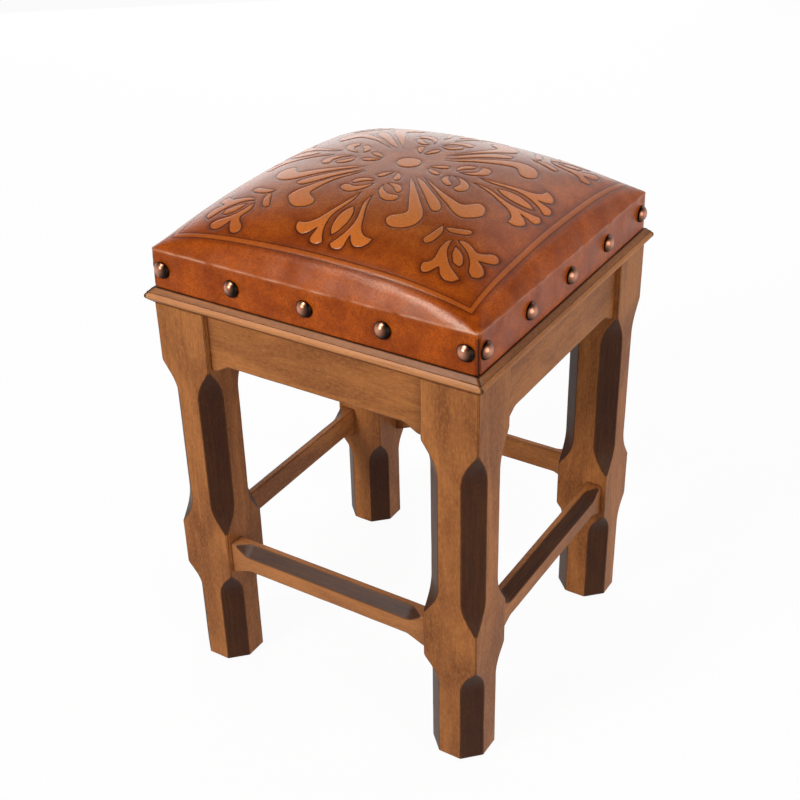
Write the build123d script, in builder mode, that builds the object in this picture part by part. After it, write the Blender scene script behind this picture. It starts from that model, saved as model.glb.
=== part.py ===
from build123d import *

import os
from math import asin, cos, pi, radians, sin, sqrt, tan

# Square counter stool: four heavy chamfered legs, aprons, stretchers, a moulded top frame and a crowned
# leather seat held by dome nails. Millimetres, +Z up. The origin is on the floor, under the middle of the
# seat, and the front is towards -Y.

# Frame
frame_width = 410.0  # across the outer faces of the legs, both ways
leg_size = 68.0
leg_height = 503.0  # floor to the underside of the top moulding
foot_bevel = 2.5  # sanded edge round the foot
board_thickness = 20.0  # aprons and stretchers
board_recess = 6.0  # how far the boards stand back from the leg faces
cut_overrun = 5.0  # how far a cutting shape runs past the wood

# Stopped chamfers on the leg corners
leg_chamfer_depth = 14.0  # measured along the diagonal of the leg
neck_top_lap = 1.0  # from the apron's ears up to the chamfer's upper stop
neck_low_gap = 12.0  # from the stretcher's top up to the lower stop
long_low_gap = 2.0  # the same on the front corner, which was run out further by hand
neck_ramp_angle = 25.0
neck_blend_radius = 66.0
foot_gap = 4.5  # from the stretcher's ears down to the foot chamfer's stop
foot_ramp_angle = 31.0
foot_blend_radius = 50.0

# Aprons
apron_height = 62.0
apron_ear_drop = 10.0
apron_ear_flat = 6.0
apron_ear_run = 17.0
apron_ear_radius = 13.0

# Stretchers
stretcher_top = 190.0
stretcher_height = 33.0
stretcher_ear_drop = 9.5
stretcher_ear_flat = 3.0
stretcher_ear_run = 22.0
stretcher_ear_radius = 12.0
stretcher_chamfer_depth = 8.5
stretcher_chamfer_stop = 5.0  # bare wood left beside each leg
stretcher_ramp_angle = 27.0
stretcher_blend_radius = 26.0

# Mortise and tenon joints
tenon_thickness = 10.0
tenon_length = 30.0
apron_tenon_shoulder = 8.0
stretcher_tenon_shoulder = 5.0
tenon_clearance = 0.15  # glue gap on every side of a tenon

# Moulded top frame
moulding_overhang = 7.5  # past the leg faces
moulding_margin = 6.5  # how far each rail runs in past the cleats
moulding_thickness = 19.0
moulding_slope_drop = 4.8
moulding_slope_in = 2.1  # from the nose back to the slope's outer edge
moulding_nose_radius = 4.6
moulding_nose_level = 9.0  # above the underside
moulding_quirk_angle = 68.0  # where the fine groove meets the nose
moulding_under_angle = 45.0  # where the nose turns into the underside's slope
moulding_foot_overhang = 0.4  # past the leg faces

# Seat box under the leather
batten_thickness = 20.0
batten_height = 40.0
deck_thickness = 12.0
deck_clearance = 0.3

# Leather cover and foam
cover_setback = 1.0  # from the leg faces in to the leather
cover_corner_radius = 6.0
leather_thickness = 2.5
cover_band_height = 45.0
crown_height = 69.0
crown_power = 2.47  # squareness of the crown's plan
crown_fullness = 0.617  # under 1 gives steep shoulders and a flat middle
crown_level_shares = (0.0, 0.13, 0.30, 0.47, 0.64, 0.80, 0.90, 0.96, 0.99)
crown_directions = 12  # the crown is arched in this many directions round its middle
foam_clearance = 0.3

# Dome nails
nails_per_side = 5
nail_height = 23.0  # above the moulding
nail_point_gap = 3.5  # between the points of the two nails at a corner
nail_head_diameter = 20.0
nail_head_rise = 7.5
nail_rim = 1.0
nail_facets = 16
nail_dome_steps = 3
nail_shank_width = 2.5  # square, tapering to the point
nail_point_width = 0.6
nail_length = 11.5
nail_hole_clearance = 0.1

# Cleats glued inside the aprons, and the screws up through them into the seat
cleat_size = 20.0
cleat_end_gap = 2.0
screw_diameter = 4.5
screw_length = 42.0
screw_head_diameter = 9.0
screw_head_height = 3.5
screw_sink = 4.0
screw_hole_clearance = 0.15

# Worked out from the sizes above
half_frame = frame_width / 2
leg_line = half_frame - leg_size / 2
leg_inner_face = half_frame - leg_size
board_line = half_frame - board_recess - board_thickness / 2
board_inner_face = board_line - board_thickness / 2
clear_span = frame_width - 2 * leg_size
seat_base = leg_height + moulding_thickness
moulding_half = half_frame + moulding_overhang
moulding_inner = board_inner_face - cleat_size - moulding_margin
cover_half = half_frame - cover_setback
batten_outer = cover_half - leather_thickness
batten_inner = batten_outer - batten_thickness
cleat_line = board_inner_face - cleat_size / 2
neck_high_stop = leg_height - apron_height - apron_ear_drop + neck_top_lap
neck_low_stop = stretcher_top + neck_low_gap
long_low_stop = stretcher_top + long_low_gap
foot_stop = stretcher_top - stretcher_height - stretcher_ear_drop - foot_gap

# Each side of the stool, by the direction that it faces
sides = {"front": (0, -1), "right": (1, 0), "back": (0, 1), "left": (-1, 0)}
corners = {"front_left": (-1, -1), "front_right": (1, -1), "back_right": (1, 1), "back_left": (-1, 1)}

os.makedirs("parts", exist_ok=True)


def finish_piece(piece, name):
    """Names a finished piece and writes it."""
    piece.part.label = name
    export_step(piece.part, f"parts/{name}.step")


def section_plane(side):
    """Cuts across a side's boards: x points out of the stool, y points up, and z runs along the side."""
    out = Vector(*side, 0)
    return Plane(origin=(0, 0, 0), x_dir=out, z_dir=out.cross(Vector(0, 0, 1)))


def face_plane(side, distance):
    """Lies on a side's boards: x runs along the side, y points up, and z points out of the stool."""
    out = Vector(*side, 0)
    return Plane(origin=out * distance, x_dir=Vector(0, 0, 1).cross(out), z_dir=out)


def stopped_chamfer(edge, depth, low, high, angle, radius):
    """Cuts a chamfer along an edge between two stops. The edge is the plane's y axis and x points away from
    the wood. At each stop the cut ramps out to the corner, with a rounded start."""
    slope = tan(radians(angle))
    run = depth / slope
    past = cut_overrun / slope
    with BuildSketch(edge) as profile:
        with BuildLine():
            path = FilletPolyline(
                (cut_overrun, low - past),
                (-depth, low + run),
                (-depth, high - run),
                (cut_overrun, high + past),
                radius=radius,
            )
            Line(path @ 1, path @ 0)
        make_face()
    extrude(profile.sketch, amount=2 * depth, both=True, mode=Mode.SUBTRACT)


def foot_chamfer(edge, depth, high, angle, radius):
    """The same cut, open at the floor end."""
    slope = tan(radians(angle))
    with BuildSketch(edge) as profile:
        with BuildLine():
            path = FilletPolyline(
                (-depth, -cut_overrun),
                (-depth, high - depth / slope),
                (cut_overrun, high + cut_overrun / slope),
                radius=radius,
            )
            Polyline(path @ 1, (cut_overrun, -cut_overrun), path @ 0)
        make_face()
    extrude(profile.sketch, amount=2 * depth, both=True, mode=Mode.SUBTRACT)


# Legs: square posts with a chamfer on every corner of the neck and of the foot, and mortises on the two
# inner faces.
apron_tenon_height = apron_height - 2 * apron_tenon_shoulder
stretcher_tenon_height = stretcher_height - 2 * stretcher_tenon_shoulder
apron_tenon_level = leg_height - apron_height / 2
stretcher_tenon_level = stretcher_top - stretcher_height / 2
mortise_depth = tenon_length + tenon_clearance
mortise_width = tenon_thickness + 2 * tenon_clearance
mortise_line = leg_inner_face + mortise_depth / 2
mortises = (
    (apron_tenon_level, apron_tenon_height + 2 * tenon_clearance),
    (stretcher_tenon_level, stretcher_tenon_height + 2 * tenon_clearance),
)

for leg_name, (side_x, side_y) in corners.items():
    with BuildPart() as leg:
        with BuildSketch():
            with Locations((side_x * leg_line, side_y * leg_line)):
                Rectangle(leg_size, leg_size)
        extrude(amount=leg_height)
        for away_x, away_y in corners.values():
            away = Vector(away_x, away_y, 0)
            corner_edge = Plane(
                origin=(
                    side_x * leg_line + away_x * leg_size / 2,
                    side_y * leg_line + away_y * leg_size / 2,
                    0,
                ),
                x_dir=away,
                z_dir=away.cross(Vector(0, 0, 1)),
            )
            foremost = leg_name == "front_right" and (away_x, away_y) == (side_x, side_y)
            stopped_chamfer(
                corner_edge,
                leg_chamfer_depth,
                long_low_stop if foremost else neck_low_stop,
                neck_high_stop,
                neck_ramp_angle,
                neck_blend_radius,
            )
            foot_chamfer(corner_edge, leg_chamfer_depth, foot_stop, foot_ramp_angle, foot_blend_radius)
        chamfer(leg.faces().sort_by(Axis.Z)[0].edges(), length=foot_bevel)
        for level, height in mortises:
            with Locations((side_x * mortise_line, side_y * board_line, level)):
                Box(mortise_depth, mortise_width, height, mode=Mode.SUBTRACT)
            with Locations((side_x * board_line, side_y * mortise_line, level)):
                Box(mortise_width, mortise_depth, height, mode=Mode.SUBTRACT)
    finish_piece(leg, f"leg_{leg_name}")


def eared_board(side, top, height, drop, flat, run, radius, tenon_height):
    """A board between two legs whose lower edge sweeps down to an ear at each end, with a tenon past each
    shoulder."""
    half = clear_span / 2
    low = top - height
    ear = low - drop
    with BuildSketch(face_plane(side, board_line)) as board:
        with BuildLine():
            edge = FilletPolyline(
                (-half, ear),
                (-half + flat, ear),
                (-half + flat + run, low),
                (half - flat - run, low),
                (half - flat, ear),
                (half, ear),
                radius=radius,
            )
            Polyline(edge @ 1, (half, top), (-half, top), edge @ 0)
        make_face()
    extrude(board.sketch, amount=board_thickness / 2, both=True)
    with BuildSketch(face_plane(side, board_line)) as tenon:
        with Locations((0, top - height / 2)):
            Rectangle(clear_span + 2 * tenon_length, tenon_height)
    extrude(tenon.sketch, amount=tenon_thickness / 2, both=True)


# Aprons
for side_name, side in sides.items():
    with BuildPart() as apron:
        eared_board(
            side,
            leg_height,
            apron_height,
            apron_ear_drop,
            apron_ear_flat,
            apron_ear_run,
            apron_ear_radius,
            apron_tenon_height,
        )
    finish_piece(apron, f"apron_{side_name}")

# Stretchers: the outer top edge has a stopped chamfer where the feet rest.
for side_name, side in sides.items():
    with BuildPart() as stretcher:
        eared_board(
            side,
            stretcher_top,
            stretcher_height,
            stretcher_ear_drop,
            stretcher_ear_flat,
            stretcher_ear_run,
            stretcher_ear_radius,
            stretcher_tenon_height,
        )
        out = Vector(*side, 0)
        away = (out + Vector(0, 0, 1)).normalized()
        top_edge = Plane(
            origin=out * (board_line + board_thickness / 2) + Vector(0, 0, stretcher_top),
            x_dir=away,
            z_dir=away.cross(out.cross(Vector(0, 0, 1))),
        )
        chamfer_reach = clear_span / 2 - stretcher_chamfer_stop
        stopped_chamfer(
            top_edge,
            stretcher_chamfer_depth,
            -chamfer_reach,
            chamfer_reach,
            stretcher_ramp_angle,
            stretcher_blend_radius,
        )
    finish_piece(stretcher, f"stretcher_{side_name}")


def bore(side, level, radius, depth):
    """Drills up into the underside of a side's pieces, for the screw in the middle of that side."""
    out = Vector(*side, 0)
    with BuildSketch(Plane.XY.offset(level)) as hole:
        with Locations(out * cleat_line):
            Circle(radius)
    extrude(hole.sketch, amount=depth, mode=Mode.SUBTRACT)


screw_start = leg_height - cleat_size + screw_sink
screw_hole_radius = screw_diameter / 2 + screw_hole_clearance
screw_sink_radius = screw_head_diameter / 2 + screw_hole_clearance

# Top moulding: four mitred rails. Each slopes down from the leather to a fine groove, then swells into a
# round nose and slopes back in to the leg faces.
nose_middle = (moulding_half - moulding_nose_radius, leg_height + moulding_nose_level)

for side_name, side in sides.items():
    with BuildPart() as rail:
        with BuildSketch(section_plane(side)):
            with BuildLine():
                nose = CenterArc(
                    nose_middle,
                    moulding_nose_radius,
                    -moulding_under_angle,
                    moulding_under_angle + moulding_quirk_angle,
                )
                Polyline(
                    nose @ 1,
                    (moulding_half - moulding_slope_in, seat_base - moulding_slope_drop),
                    (cover_half, seat_base),
                    (moulding_inner, seat_base),
                    (moulding_inner, leg_height),
                    (half_frame + moulding_foot_overhang, leg_height),
                    nose @ 0,
                )
            make_face()
        extrude(amount=moulding_half, both=True)
        out = Vector(*side, 0)
        along = out.cross(Vector(0, 0, 1))
        for end in (1, -1):
            split(bisect_by=Plane(origin=(0, 0, 0), z_dir=out + along * end), keep=Keep.TOP)
        bore(side, leg_height, screw_hole_radius, moulding_thickness)
    finish_piece(rail, f"moulding_{side_name}")

# Cleats: square strips glued inside the aprons, bored and countersunk for the seat screws.
for side_name, side in sides.items():
    with BuildPart() as cleat:
        with BuildSketch(face_plane(side, cleat_line)):
            with Locations((0, leg_height - cleat_size / 2)):
                Rectangle(clear_span - 2 * cleat_end_gap, cleat_size)
        extrude(amount=cleat_size / 2, both=True)
        cleat_floor = leg_height - cleat_size
        bore(side, cleat_floor, screw_hole_radius, cleat_size)
        bore(side, cleat_floor, screw_sink_radius, screw_sink + screw_head_height)
    finish_piece(cleat, f"cleat_{side_name}")

# Seat screws: a countersunk head on a plain shank with a point, drawn upwards from the head.
with BuildPart() as one_screw:
    with BuildSketch(Plane.XZ):
        with BuildLine():
            Polyline(
                (0, 0),
                (screw_head_diameter / 2, 0),
                (screw_diameter / 2, screw_head_height),
                (screw_diameter / 2, screw_length - screw_diameter),
                (0, screw_length),
                (0, 0),
            )
        make_face()
    revolve(axis=Axis.Z)

with BuildPart() as seat_screws:
    with Locations(*[Vector(*side, 0) * cleat_line + Vector(0, 0, screw_start) for side in sides.values()]):
        add(one_screw.part)
finish_piece(seat_screws, "seat_screws")

# Seat box: front and back battens run the full width, the side battens fit between them. Each nail is
# driven through the leather into them, and leaves a square hole.
nail_level = seat_base + nail_height
nail_last = cover_half - nail_length - nail_point_gap
nail_pitch = 2 * nail_last / (nails_per_side - 1)
nail_reaches = [nail_pitch * count - nail_last for count in range(nails_per_side)]
nail_hole_width = nail_shank_width + 2 * nail_hole_clearance
nail_tip = cover_half - nail_length


def pierce(side, reaches, start, depth):
    """Cuts the nail holes of one side, outwards from a distance."""
    with BuildSketch(face_plane(side, start)) as holes:
        with Locations(*[(reach, nail_level) for reach in reaches]):
            Rectangle(nail_hole_width, nail_hole_width)
    extrude(holes.sketch, amount=depth, mode=Mode.SUBTRACT)


for side_name, side in sides.items():
    full_width = side_name in ("front", "back")
    with BuildPart() as batten:
        with BuildSketch(face_plane(side, batten_inner)):
            with Locations((0, seat_base + batten_height / 2)):
                Rectangle(2 * (batten_outer if full_width else batten_inner), batten_height)
        extrude(amount=batten_thickness)
        if full_width:
            outer_edges = batten.edges().filter_by(Axis.Z).sort_by(Axis.Y)
            outer_edges = outer_edges[:2] if side_name == "front" else outer_edges[-2:]
            fillet(outer_edges, radius=cover_corner_radius - leather_thickness)
        corner_reaches = [reach for reach in nail_reaches if abs(reach) > batten_inner]
        own_reaches = nail_reaches if full_width else [r for r in nail_reaches if r not in corner_reaches]
        pierce(side, own_reaches, nail_tip - nail_hole_clearance, nail_length)
        if full_width:
            pierce(sides["right"], corner_reaches, nail_tip - nail_hole_clearance, nail_length)
            pierce(sides["left"], corner_reaches, nail_tip - nail_hole_clearance, nail_length)
    finish_piece(batten, f"batten_{side_name}")

# Plywood deck inside the battens, drilled for the points of the seat screws.
deck_half = batten_inner - deck_clearance
deck_pilot = screw_start + screw_length - seat_base + screw_hole_clearance
with BuildPart() as deck:
    with BuildSketch(Plane.XY.offset(seat_base)):
        Rectangle(2 * deck_half, 2 * deck_half)
    extrude(amount=deck_thickness)
    for side in sides.values():
        bore(side, seat_base, screw_hole_radius, deck_pilot)
finish_piece(deck, "seat_deck")


def crown_reach(level, turn, inset):
    """How far the cushion reaches from its middle, in a direction, at a share of the crown's height. Its
    contours go from a square with tight corners to nearly a circle."""
    share = level ** (1 / crown_fullness)
    half = cover_half - inset
    middle = half * (1 - share) ** (1 / crown_power)
    diagonal = half * (1 - sqrt(share)) ** (1 / crown_power)
    corner = max((middle - diagonal) / (1 - sqrt(1 / 2)), cover_corner_radius - inset)
    return (middle - corner) * (abs(cos(turn)) + abs(sin(turn))) + corner


def crowned_form(inset, base):
    """The cushion's outer form, set in from the leather's face: an upright band under a crown. It is what
    arched slabs have in common, each turned a little further round the middle. A slab's arch rises in arcs
    through every second one of the crown's levels."""
    shoulder = seat_base + cover_band_height
    rise = crown_height - inset
    top = shoulder + rise * crown_level_shares[-1]
    with BuildPart() as form:
        with BuildSketch(Plane.XY.offset(base)):
            Rectangle(2 * cover_half + cut_overrun, 2 * cover_half + cut_overrun)
        extrude(amount=top - base)
        for count in range(crown_directions):
            turn = pi * count / crown_directions
            towards = Vector(cos(turn), sin(turn), 0)
            across = Plane(origin=(0, 0, 0), x_dir=towards, z_dir=towards.cross(Vector(0, 0, 1)))
            with BuildSketch(across):
                for hand in (1, -1):
                    arch = [
                        (hand * crown_reach(level, turn, inset), shoulder + rise * level)
                        for level in crown_level_shares
                    ]
                    with BuildLine():
                        Polyline((0, base - cut_overrun), (arch[0][0], base - cut_overrun), arch[0])
                        for step in range(0, len(arch) - 2, 2):
                            ThreePointArc(*arch[step : step + 3])
                        Polyline(
                            arch[-1],
                            (arch[-1][0], top + cut_overrun),
                            (0, top + cut_overrun),
                            (0, base - cut_overrun),
                        )
                    make_face()
            extrude(amount=2 * cover_half, both=True, mode=Mode.INTERSECT)
    return form.part


# Leather cover: one hide drawn over the crown and down the sides, open below.
hide = crowned_form(0, seat_base)
hollow = crowned_form(leather_thickness, seat_base)
with BuildPart() as leather_cover:
    add(hide)
    add(hollow, mode=Mode.SUBTRACT)
    for side in sides.values():
        pierce(side, nail_reaches, batten_outer - cut_overrun, leather_thickness + 2 * cut_overrun)
finish_piece(leather_cover, "leather_cover")

# Foam: a block inside the battens that swells over them under the leather.
swell = crowned_form(leather_thickness + foam_clearance, seat_base + batten_height + foam_clearance)
with BuildPart() as foam_pad:
    add(swell)
    with BuildSketch(Plane.XY.offset(seat_base + deck_thickness)):
        Rectangle(2 * deck_half, 2 * deck_half)
    extrude(amount=batten_height + foam_clearance - deck_thickness)
finish_piece(foam_pad, "foam_pad")

# Dome nails: a domed head with a thin rim on a square tapered shank, drawn outwards from the leather's face.
# The head is forged in flats, in tiers that follow a round dome.
head_radius = nail_head_diameter / 2
dome_rise = nail_head_rise - nail_rim
dome_radius = (head_radius**2 + dome_rise**2) / (2 * dome_rise)
dome_angle = asin(head_radius / dome_radius)
dome_middle = nail_head_rise - dome_radius
dome_turns = [dome_angle * (1 - step / (nail_dome_steps + 1)) for step in range(nail_dome_steps + 1)]

with BuildPart() as one_nail:
    with BuildSketch():
        RegularPolygon(head_radius, nail_facets)
    extrude(amount=nail_rim)
    for turn in dome_turns:
        with BuildSketch(Plane.XY.offset(dome_middle + dome_radius * cos(turn))):
            RegularPolygon(dome_radius * sin(turn), nail_facets)
    loft(ruled=True)
    with BuildSketch():
        Rectangle(nail_shank_width, nail_shank_width)
    with BuildSketch(Plane.XY.offset(-nail_length)):
        Rectangle(nail_point_width, nail_point_width)
    loft(ruled=True)

with BuildPart() as dome_nails:
    for side in sides.values():
        with Locations(face_plane(side, cover_half)):
            with Locations(*[(reach, nail_level) for reach in nail_reaches]):
                add(one_nail.part)
finish_piece(dome_nails, "dome_nails")
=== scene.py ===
import math

import bpy
import numpy as np
from mathutils import Matrix, Vector, geometry, kdtree, noise


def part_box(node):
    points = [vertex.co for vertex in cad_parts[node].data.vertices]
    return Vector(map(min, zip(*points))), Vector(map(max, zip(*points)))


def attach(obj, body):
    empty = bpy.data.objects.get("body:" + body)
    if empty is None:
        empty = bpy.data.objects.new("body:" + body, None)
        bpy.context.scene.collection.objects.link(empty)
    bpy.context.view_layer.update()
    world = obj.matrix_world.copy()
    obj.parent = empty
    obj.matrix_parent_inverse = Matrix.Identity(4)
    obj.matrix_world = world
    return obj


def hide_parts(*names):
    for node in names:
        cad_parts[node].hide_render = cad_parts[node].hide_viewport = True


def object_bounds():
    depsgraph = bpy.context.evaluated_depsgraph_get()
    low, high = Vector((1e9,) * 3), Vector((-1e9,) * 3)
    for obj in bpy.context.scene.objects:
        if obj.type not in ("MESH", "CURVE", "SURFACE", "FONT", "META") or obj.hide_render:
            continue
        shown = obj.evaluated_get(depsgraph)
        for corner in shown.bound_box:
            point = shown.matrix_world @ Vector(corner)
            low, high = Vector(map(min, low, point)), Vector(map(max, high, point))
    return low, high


# Counter stool with a crowned seat of tooled leather. Metres, +Z up, front towards -Y.

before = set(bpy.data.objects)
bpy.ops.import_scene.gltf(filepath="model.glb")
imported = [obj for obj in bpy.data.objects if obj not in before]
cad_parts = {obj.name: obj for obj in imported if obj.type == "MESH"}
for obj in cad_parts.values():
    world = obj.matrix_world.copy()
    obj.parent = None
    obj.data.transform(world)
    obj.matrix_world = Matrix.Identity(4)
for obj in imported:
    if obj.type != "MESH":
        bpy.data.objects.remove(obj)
cad_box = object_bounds()

# Legs. Each is a square post of solid hardwood, mortised for the boards between the legs. The corners of the
# neck and of the foot are cut back to deep stopped chamfers, which the maker stains nearly black.
mm = 0.001
leg_corners = {"front_left": (-1, -1), "front_right": (1, -1), "back_right": (1, 1), "back_left": (-1, 1)}
leg_low, leg_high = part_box("leg_front_right")
leg_size = leg_high.x - leg_low.x
leg_line = (leg_high.x + leg_low.x) / 2
leg_height = leg_high.z
foot_bevel = 2.5 * mm
leg_chamfer_depth = 14.0 * mm
neck_high_stop = 432.0 * mm
neck_low_stop = 202.0 * mm
long_low_stop = 192.0 * mm  # the foremost corner was run out further
neck_ramp_angle = math.radians(25)
neck_blend_radius = 66.0 * mm
foot_stop = 143.0 * mm
foot_ramp_angle = math.radians(31)
foot_blend_radius = 50.0 * mm
wood_ease = 1.2 * mm  # what sanding takes off an edge
sanding_wave = 0.16 * mm  # how uneven a hand-sanded face is
sanding_wave_length = 26.0 * mm
leg_station_count = 190
grain_shift = 0.7  # metres from one board's grain to the next board's, so that no two match
noise.seed_set(1)  # any number but 0, which would draw other waves in every run


def linear(code):
    """Turns an sRGB hex colour into the linear values that Blender's sockets take."""
    shares = [int(code[place:place + 2], 16) / 255 for place in (1, 3, 5)]
    return [c / 12.92 if c <= 0.04045 else ((c + 0.055) / 1.055) ** 2.4 for c in shares] + [1.0]


def add_node(tree, kind, settings):
    """Adds a shader node. A setting that is another node, or one of its outputs, is linked. Any other is a
    property of the node or the value of one of its own sockets."""
    node = tree.nodes.new(f"ShaderNode{kind}")
    for name, value in settings.items():
        if isinstance(value, bpy.types.Node):
            value = value.outputs[0]
        if isinstance(value, bpy.types.NodeSocket):
            tree.links.new(value, node.inputs[name])
        elif isinstance(name, str) and hasattr(node, name):
            setattr(node, name, value)
        else:
            node.inputs[name].default_value = value
    return node


def new_material(name):
    """Starts an empty material and returns it with its node tree."""
    material = bpy.data.materials.new(name)
    material.use_nodes = True
    material.node_tree.nodes.clear()
    return material, material.node_tree


# Stained hardwood: a walnut stain rubbed over an open-pored reddish wood, under satin lacquer. It shows as
# honey-brown with darker clouds, fine streaks and short dark pores along the grain, and a soft sheen.
wood_honey = linear("#ba7640")
wood_walnut = linear("#7a4524")
wood_glaze = linear("#d18a4a")
wood_pore = linear("#351a0b")
wood_edge = linear("#4a2812")
# A paler colour for rubbed wood, which also serves as painted highlight on the moulding noses and as painted
# light on the front stretcher.
wood_rubbed_and_lit = linear("#eba26a")
chamfer_stain = linear("#270e06")
cloud_width, cloud_length = 38.0 * mm, 150.0 * mm
streak_width, streak_length = 2.4 * mm, 60.0 * mm
pore_width, pore_length = 0.75 * mm, 9.0 * mm
fleck_width, fleck_length = 2.8 * mm, 5.5 * mm

stained_hardwood, tree = new_material("stained_hardwood_satin_lacquer")
grain, stain, wear, rub_and_painted_light = (
    add_node(tree, "Attribute", {"attribute_name": name}) for name in ("grain", "stain", "wear", "rub_and_painted_light")
)
figures = []
for width, length, look in (
    (cloud_width, cloud_length, {"Detail": 4.0, "Roughness": 0.6, "Distortion": 0.6}),
    (streak_width, streak_length, {"Detail": 5.0, "Roughness": 0.65, "Distortion": 0.25}),
    (pore_width, pore_length, {"Detail": 2.0, "Roughness": 0.5}),
    (fleck_width, fleck_length, {"Detail": 6.0, "Roughness": 0.7, "Distortion": 0.4}),
):
    repeats = (1 / width, 1 / width, 1 / length)
    place = add_node(tree, "VectorMath", {"operation": "MULTIPLY", 0: grain.outputs["Vector"], 1: repeats})
    figures.append(add_node(tree, "TexNoise", {"Scale": 1.0, "Vector": place, **look}))
clouds, streaks, pores, flecks = figures
cloud_share, streak_share, fleck_share, pore_share, wear_streaks, stain_depth, lacquer = (
    add_node(tree, "MapRange", {
        "From Min": low, "From Max": high, "To Min": at_low, "To Max": at_high, "Value": figure,
    })
    for figure, low, high, at_low, at_high in (
        (clouds, 0.36, 0.62, 0.12, 0.85),
        (streaks, 0.45, 0.75, 0.0, 0.42),
        (flecks, 0.46, 0.68, 0.0, 0.38),
        (pores, 0.55, 0.7, 0.0, 0.4),
        (streaks, 0.38, 0.62, 0.4, 1.0),
        (streaks, 0.2, 0.8, 0.98, 0.8),
        (streaks, 0.0, 1.0, 0.36, 0.56),
    )
)
wear_share, rub_and_painted_light_share, stain_share = (
    add_node(tree, "Math", {"operation": "MULTIPLY", 0: where.outputs["Fac"], 1: figure})
    for where, figure in ((wear, wear_streaks), (rub_and_painted_light, streaks), (stain, stain_depth))
)
wood_colour = wood_honey
for share, coat in (
    (cloud_share, wood_walnut),
    (streak_share, wood_walnut),
    (fleck_share, wood_glaze),
    (pore_share, wood_pore),
    (wear_share, wood_edge),
    # rubbed wear, partly painted highlight and painted light
    (rub_and_painted_light_share, wood_rubbed_and_lit),
    (stain_share, chamfer_stain),
):
    mixed = add_node(tree, "Mix", {"data_type": "RGBA", 0: share, 6: wood_colour, 7: coat})
    wood_colour = mixed.outputs[2]
grain_height = add_node(tree, "Math", {"operation": "MULTIPLY_ADD", 0: pore_share, 1: -0.8, 2: streaks})
grain_bump = add_node(tree, "Bump", {"Strength": 0.35, "Distance": 0.3 * mm, "Height": grain_height})
surface = add_node(tree, "BsdfPrincipled", {
    "IOR": 1.22, "Base Color": wood_colour, "Roughness": lacquer, "Normal": grain_bump,
})
add_node(tree, "OutputMaterial", {"Surface": surface})


def stopped_depth(inside, depth, angle, radius):
    """How deep a stopped chamfer is at a distance inside its stop: a ramp that rounds into the cut."""
    slope = math.tan(angle)
    tangent = radius * math.tan(angle / 2)
    full_at = depth / slope + tangent
    beyond = np.clip(full_at - inside, 0, radius * math.sin(angle))
    rounded = depth - radius + np.sqrt(radius ** 2 - beyond ** 2)
    ramp = np.clip(inside, 0, None) * slope
    return np.where(inside < full_at - radius * math.sin(angle), ramp, rounded)


def eased_sections(corners, cuts, ease):
    """Outlines a post or board at each of its stations from four corners. Each corner is cut back along both
    faces and its edges are eased. Also gives how much stain and how much edge wear each point has."""
    bends = (0.0, 1 / 3, 2 / 3, 1.0)
    flats = (1 / 4, 1 / 2, 3 / 4)
    groups = []
    for turn in range(4):
        corner = corners[:, turn]
        before = corners[:, turn - 1] - corner
        after = corners[:, (turn + 1) % 4] - corner
        before = before / np.linalg.norm(before, axis=1)[:, None]
        after = after / np.linalg.norm(after, axis=1)[:, None]
        cut = np.maximum(cuts[:, turn], ease)[:, None]
        dark = np.clip(cuts[:, turn] / ease - 1, 0, 1)
        start = corner + before * cut
        end = corner + after * cut
        across = end - start
        width = np.linalg.norm(across, axis=1)[:, None]
        across = across / width
        reach = np.minimum(ease, 0.45 * width)
        group = []
        for bend in bends:
            point = start + before * reach * (1 - bend) ** 2 + across * reach * bend ** 2
            group.append((point, dark * bend, np.full(len(dark), math.sin(math.pi * bend))))
        for flat in flats:
            group.append((start + across * (reach + (width - 2 * reach) * flat), dark, 0 * dark))
        for bend in bends:
            point = end - across * reach * (1 - bend) ** 2 + after * reach * bend ** 2
            group.append((point, dark * (1 - bend), np.full(len(dark), math.sin(math.pi * bend))))
        groups.append(group)
    ring = []
    for turn in range(4):
        ring += groups[turn]
        last, following = groups[turn][-1][0], groups[(turn + 1) % 4][0][0]
        bare = np.zeros(len(last))
        ring += [(last + (following - last) * flat, bare, bare) for flat in flats]
    return [np.stack([entry[part] for entry in ring], axis=1) for part in range(3)]


def set_attribute(mesh, name, values):
    """Stores a number or a vector on each vertex, for the material to read."""
    values = np.asarray(values, dtype=np.float32)
    kind, key = ("FLOAT", "value") if values.ndim == 1 else ("FLOAT_VECTOR", "vector")
    mesh.attributes.new(name, kind, "POINT").data.foreach_set(key, values.ravel())


def finish_piece(name, points, faces, material, nodes):
    """Makes a piece from points and faces, which rides on the stool's one body and stands for CAD nodes."""
    mesh = bpy.data.meshes.new(name)
    mesh.from_pydata([tuple(point) for point in points], [], faces)
    mesh.polygons.foreach_set("use_smooth", [True] * len(mesh.polygons))
    mesh.materials.append(material)
    piece = bpy.data.objects.new(f"{name}_finished", mesh)
    bpy.context.collection.objects.link(piece)
    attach(piece, "root")
    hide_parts(*nodes)
    return piece


def ring_faces(stations, count):
    """Quads that join each closed ring of points to the next, and a cap at each end."""
    faces = []
    for station in range(stations - 1):
        low, high = station * count, (station + 1) * count
        faces += [(low + k, low + (k + 1) % count, high + (k + 1) % count, high + k) for k in range(count)]
    last = (stations - 1) * count
    return faces + [tuple(range(count))[::-1], tuple(range(last, last + count))]


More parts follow.
